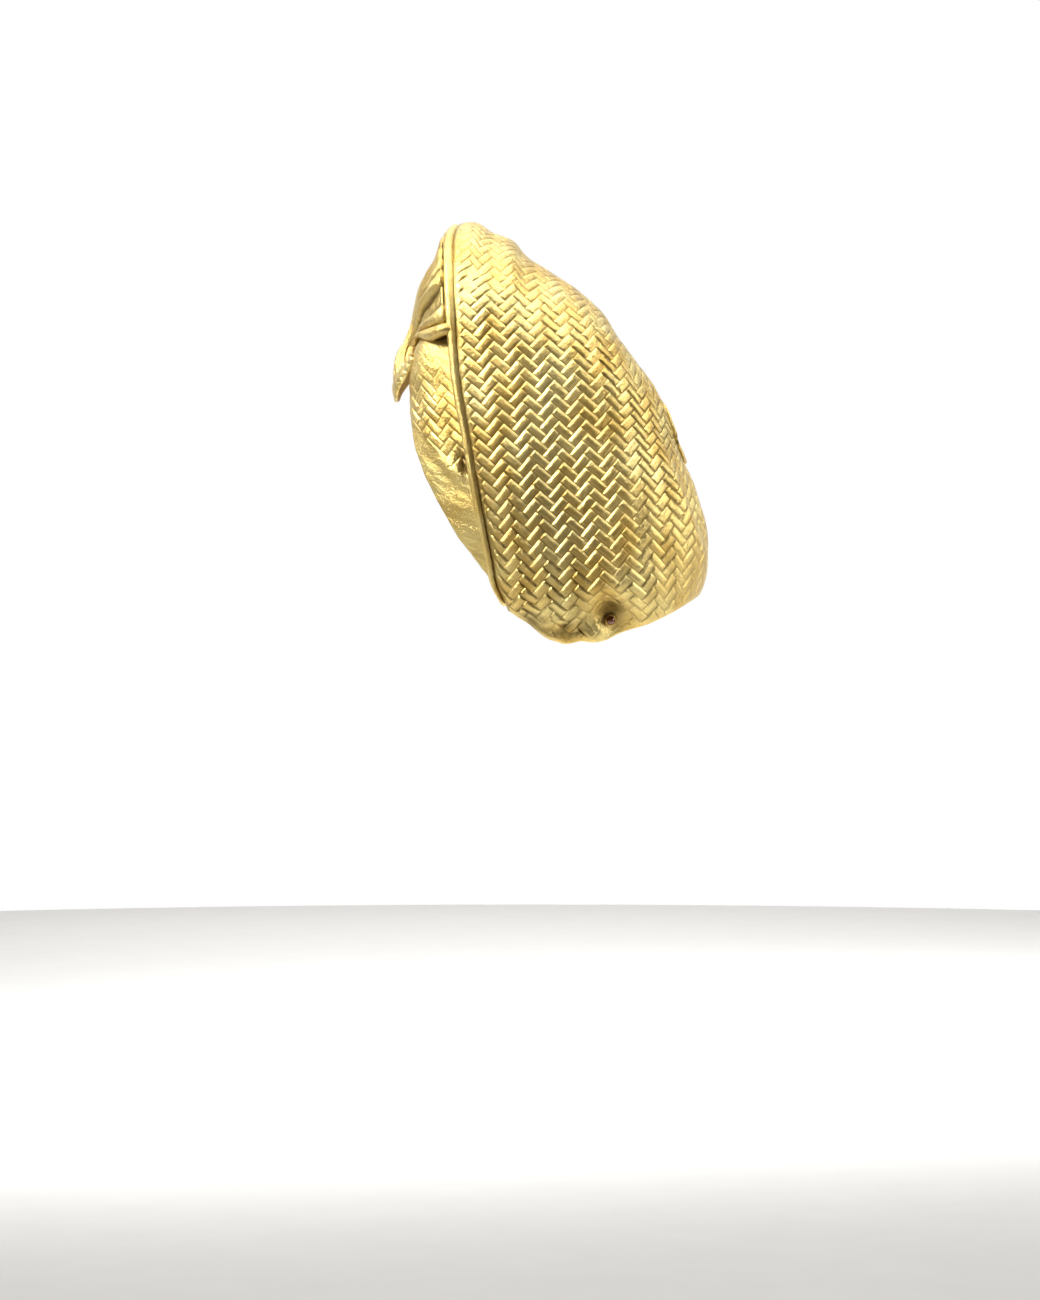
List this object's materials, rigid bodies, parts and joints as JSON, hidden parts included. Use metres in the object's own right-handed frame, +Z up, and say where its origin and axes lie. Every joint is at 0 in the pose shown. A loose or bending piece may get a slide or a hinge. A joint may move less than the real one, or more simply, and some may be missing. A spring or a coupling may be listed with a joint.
{
  "type": "turban headband",
  "caption": "Hood-style turban headband: quilted gold hood with a piped rim, an open crown back, a pleated pinched drape over the forehead, a temple band and a button at each nape corner.",
  "frame": {"origin": "where the top of the wearer's head meets the turban, on the middle plane", "axes": "+Z up, the face looks along -Y, +X is the wearer's left"},
  "size_m": [0.168, 0.2052, 0.2721],
  "materials": {
    "gold foil jersey": "metallic foil",
    "gold foil binding": "metallic foil",
    "bronze button": "polished dark"
  },
  "bodies": {
    "root": {"hood": "gold foil jersey", "rim_piping": "gold foil binding", "front_drape": "gold foil jersey", "temple_band": "gold foil jersey", "button_left": "bronze button", "button_right": "bronze button"}
  },
  "joints": []
}
